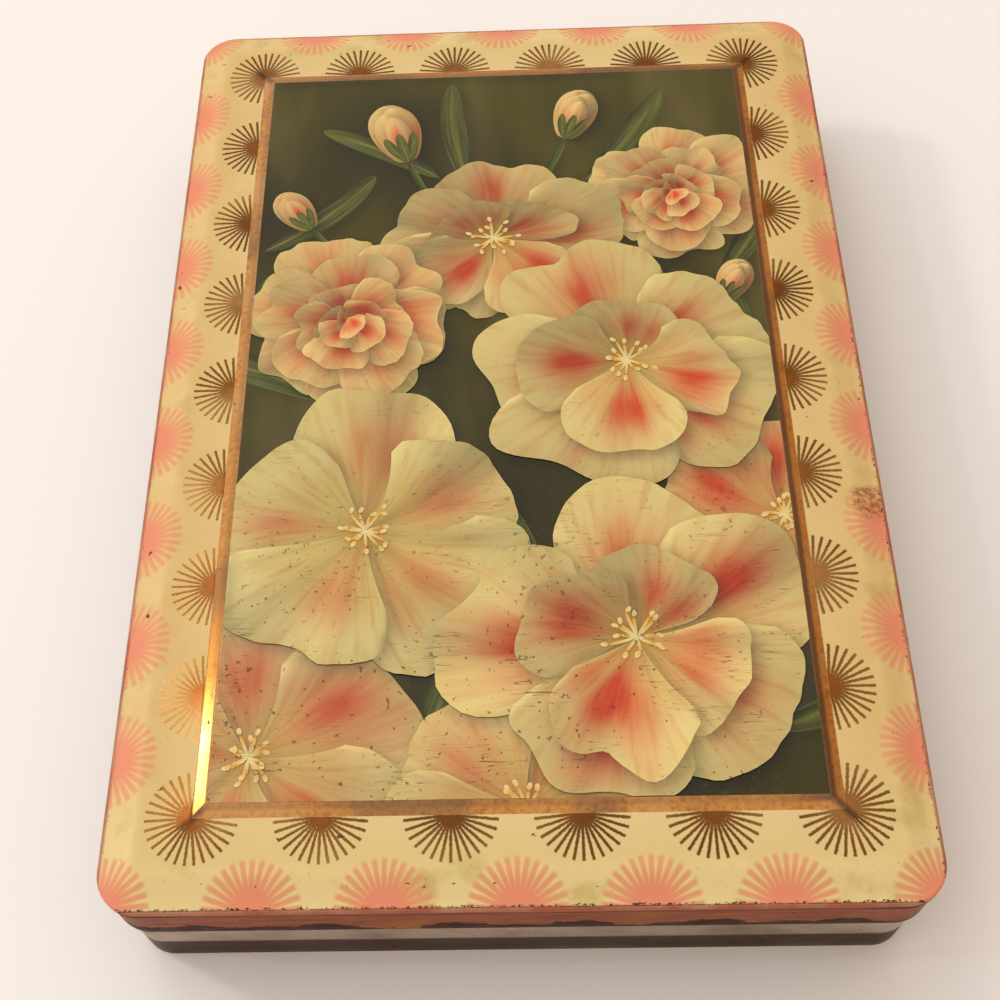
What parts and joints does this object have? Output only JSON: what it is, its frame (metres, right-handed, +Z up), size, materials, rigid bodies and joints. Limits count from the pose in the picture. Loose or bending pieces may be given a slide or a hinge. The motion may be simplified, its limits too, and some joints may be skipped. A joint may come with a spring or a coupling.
{
  "type": "flat tin box with lift-off lid",
  "caption": "Shallow rectangular printed tin box with rounded corners and a lift-off lid that has a raised picture panel; holds cards, papers and keepsakes.",
  "frame": {"origin": "on the floor under the middle of the closed tin", "axes": "+Z up, +Y along the long side towards the back, +X to the right when the tin is seen from its front short side"},
  "size_m": [0.16, 0.235, 0.0382],
  "materials": {
    "printed_top": "glossy printed enamel on tinplate: cream ground, salmon suns, gold lacquer fans and frame, floral picture",
    "printed_skirt": "glossy salmon enamel on tinplate with gold-brown fans along the hem",
    "painted_body": "dull tinplate above and a bronze-brown painted band below",
    "bare_tinplate": "dull bare tinplate"
  },
  "bodies": {
    "body": {"body_wall": "painted_body", "body_bottom": "bare_tinplate"},
    "lid": {"lid_top": "printed_top", "lid_skirt": "printed_skirt"}
  },
  "joints": [
    {"name": "lid_lift", "type": "slide", "parent": "body", "child": "lid", "axis": [0, 0, 1], "range_m": [0, 0.06]}
  ]
}
